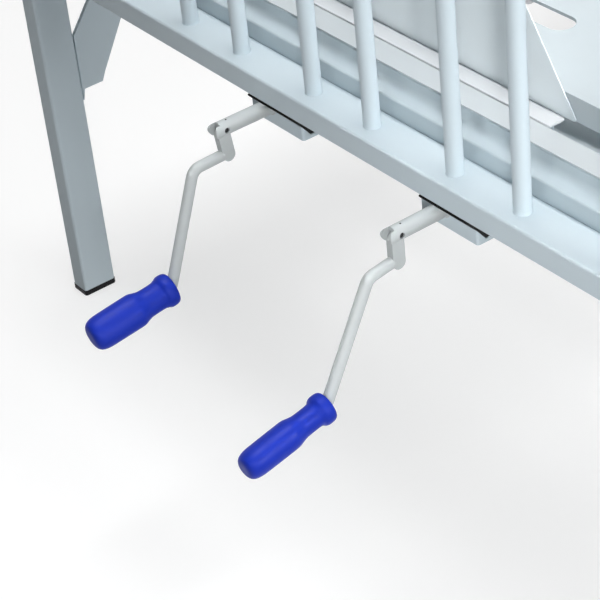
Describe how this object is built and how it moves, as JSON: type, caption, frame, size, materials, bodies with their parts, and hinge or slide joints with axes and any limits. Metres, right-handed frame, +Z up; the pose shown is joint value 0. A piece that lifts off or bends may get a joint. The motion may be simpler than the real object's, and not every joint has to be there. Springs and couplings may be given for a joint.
{
  "type": "manual hospital bed",
  "caption": "Tubular steel hospital bed with spindle ends and a hinged slotted platform, whose backrest and knee sections are raised by folding hand cranks at the foot.",
  "frame": {"origin": "centre of the bounding box at floor level, with the platform flat and both cranks hanging", "axes": "+X across the bed, +Y from the foot end to the head end, +Z up"},
  "size_m": [1, 2.263, 0.95],
  "materials": {
    "frame_paint": "satin powder coat, pale blue grey",
    "panel_paint": "satin powder coat, off-white",
    "crank_paint": "satin silver-grey paint",
    "zinc_steel": "bright zinc plate",
    "cap_black": "matt black",
    "grip_blue": "moulded, semi-gloss blue",
    "roller_nylon": "natural nylon"
  },
  "bodies": {
    "frame": {"back_crank_bracket": "frame_paint", "back_hinge_ear_left": "frame_paint", "back_hinge_ear_right": "frame_paint", "back_hinge_rod": "zinc_steel", "foot_cross_member": "frame_paint", "foot_leg_brace_left": "frame_paint", "foot_leg_brace_right": "frame_paint", "foot_leg_cap_left": "cap_black", "foot_leg_cap_right": "cap_black", "foot_leg_left": "frame_paint", "foot_leg_right": "frame_paint", "foot_lower_rail": "frame_paint", "foot_rest_strip": "panel_paint", "foot_spindle_01": "frame_paint", "foot_spindle_02": "frame_paint", "foot_spindle_03": "frame_paint", "foot_spindle_04": "frame_paint", "foot_spindle_05": "frame_paint", "foot_spindle_06": "frame_paint", "foot_spindle_07": "frame_paint", "foot_spindle_08": "frame_paint", "foot_spindle_09": "frame_paint", "foot_spindle_10": "frame_paint", "foot_top_rail": "frame_paint", "head_cross_member": "frame_paint", "head_leg_brace_left": "frame_paint", "head_leg_brace_right": "frame_paint", "head_leg_cap_left": "cap_black", "head_leg_cap_right": "cap_black", "head_leg_left": "frame_paint", "head_leg_right": "frame_paint", "head_lower_rail": "frame_paint", "head_top_rail": "frame_paint", "knee_crank_bracket": "frame_paint", "seat_cross_rail": "frame_paint", "seat_panel": "panel_paint", "side_rail_left": "frame_paint", "side_rail_right": "frame_paint", "thigh_hinge_ear_left": "frame_paint", "thigh_hinge_ear_right": "frame_paint", "thigh_hinge_rod": "zinc_steel"},
    "backrest": {"back_panel": "panel_paint", "back_lever": "zinc_steel"},
    "thigh": {"thigh_panel": "panel_paint", "thigh_lever": "zinc_steel", "knee_hinge_rod": "zinc_steel"},
    "calf": {"calf_panel": "panel_paint", "mattress_stop": "panel_paint"},
    "roller_left": {"calf_roller_left": "roller_nylon"},
    "roller_right": {"calf_roller_right": "roller_nylon"},
    "back_crank": {"back_crank_shaft": "crank_paint", "back_crank_pin": "zinc_steel"},
    "back_handle": {"back_crank_arm": "crank_paint"},
    "back_grip": {"back_crank_grip": "grip_blue"},
    "knee_crank": {"knee_crank_shaft": "crank_paint", "knee_crank_pin": "zinc_steel"},
    "knee_handle": {"knee_crank_arm": "crank_paint"},
    "knee_grip": {"knee_crank_grip": "grip_blue"},
    "back_push": {"back_push_tube": "zinc_steel"},
    "knee_push": {"knee_push_tube": "zinc_steel"}
  },
  "joints": [
    {"name": "backrest_raise", "type": "hinge", "parent": "frame", "child": "backrest", "pos_m": [0, 0.22347, 0.459], "axis": [1, 0, 0], "range_deg": [0, 70]},
    {"name": "thigh_raise", "type": "hinge", "parent": "frame", "child": "thigh", "pos_m": [0, -0.02653, 0.459], "axis": [-1, 0, 0], "range_deg": [0, 40]},
    {"name": "calf_fold", "type": "hinge", "parent": "thigh", "child": "calf", "pos_m": [0, -0.36653, 0.459], "axis": [1, 0, 0], "range_deg": [0, 72]},
    {"name": "roller_left_spin", "type": "hinge", "parent": "calf", "child": "roller_left", "pos_m": [-0.4835, -0.77853, 0.4593], "axis": [1, 0, 0], "continuous": true},
    {"name": "roller_right_spin", "type": "hinge", "parent": "calf", "child": "roller_right", "pos_m": [0.4835, -0.77853, 0.4593], "axis": [1, 0, 0], "continuous": true},
    {"name": "back_push_slide", "type": "slide", "parent": "frame", "child": "back_push", "axis": [0, 1, 0], "range_m": [0, 0.128]},
    {"name": "knee_push_slide", "type": "slide", "parent": "frame", "child": "knee_push", "axis": [0, -1, 0], "range_m": [0, 0.08]},
    {"name": "back_crank_turn", "type": "hinge", "parent": "frame", "child": "back_crank", "pos_m": [-0.092, -0.92853, 0.388], "axis": [0, 1, 0], "range_deg": [0, 5760]},
    {"name": "back_crank_fold", "type": "hinge", "parent": "back_crank", "child": "back_handle", "pos_m": [-0.092, -0.96853, 0.388], "axis": [1, 0, 0], "range_deg": [-7, 83]},
    {"name": "back_grip_spin", "type": "hinge", "parent": "back_handle", "child": "back_grip", "pos_m": [-0.092, -1.04066, 0.25997], "axis": [0, -0.9919, -0.1271], "continuous": true},
    {"name": "knee_crank_turn", "type": "hinge", "parent": "frame", "child": "knee_crank", "pos_m": [0.1345, -0.92853, 0.388], "axis": [0, 1, 0], "range_deg": [0, 3600]},
    {"name": "knee_crank_fold", "type": "hinge", "parent": "knee_crank", "child": "knee_handle", "pos_m": [0.1345, -0.96583, 0.388], "axis": [1, 0, 0], "range_deg": [0, 90]},
    {"name": "knee_grip_spin", "type": "hinge", "parent": "knee_handle", "child": "knee_grip", "pos_m": [0.1345, -1.04723, 0.26386], "axis": [0, -0.9767, -0.2147], "continuous": true}
  ],
  "couplings": [
    {"joint": "calf_fold", "follows": "thigh_raise", "ratio": 1.8},
    {"joint": "back_push_slide", "follows": "backrest_raise", "m_per_rad": 0.10477},
    {"joint": "knee_push_slide", "follows": "thigh_raise", "m_per_rad": 0.11459},
    {"joint": "back_crank_turn", "follows": "backrest_raise", "ratio": 82.286},
    {"joint": "knee_crank_turn", "follows": "thigh_raise", "ratio": 90}
  ]
}
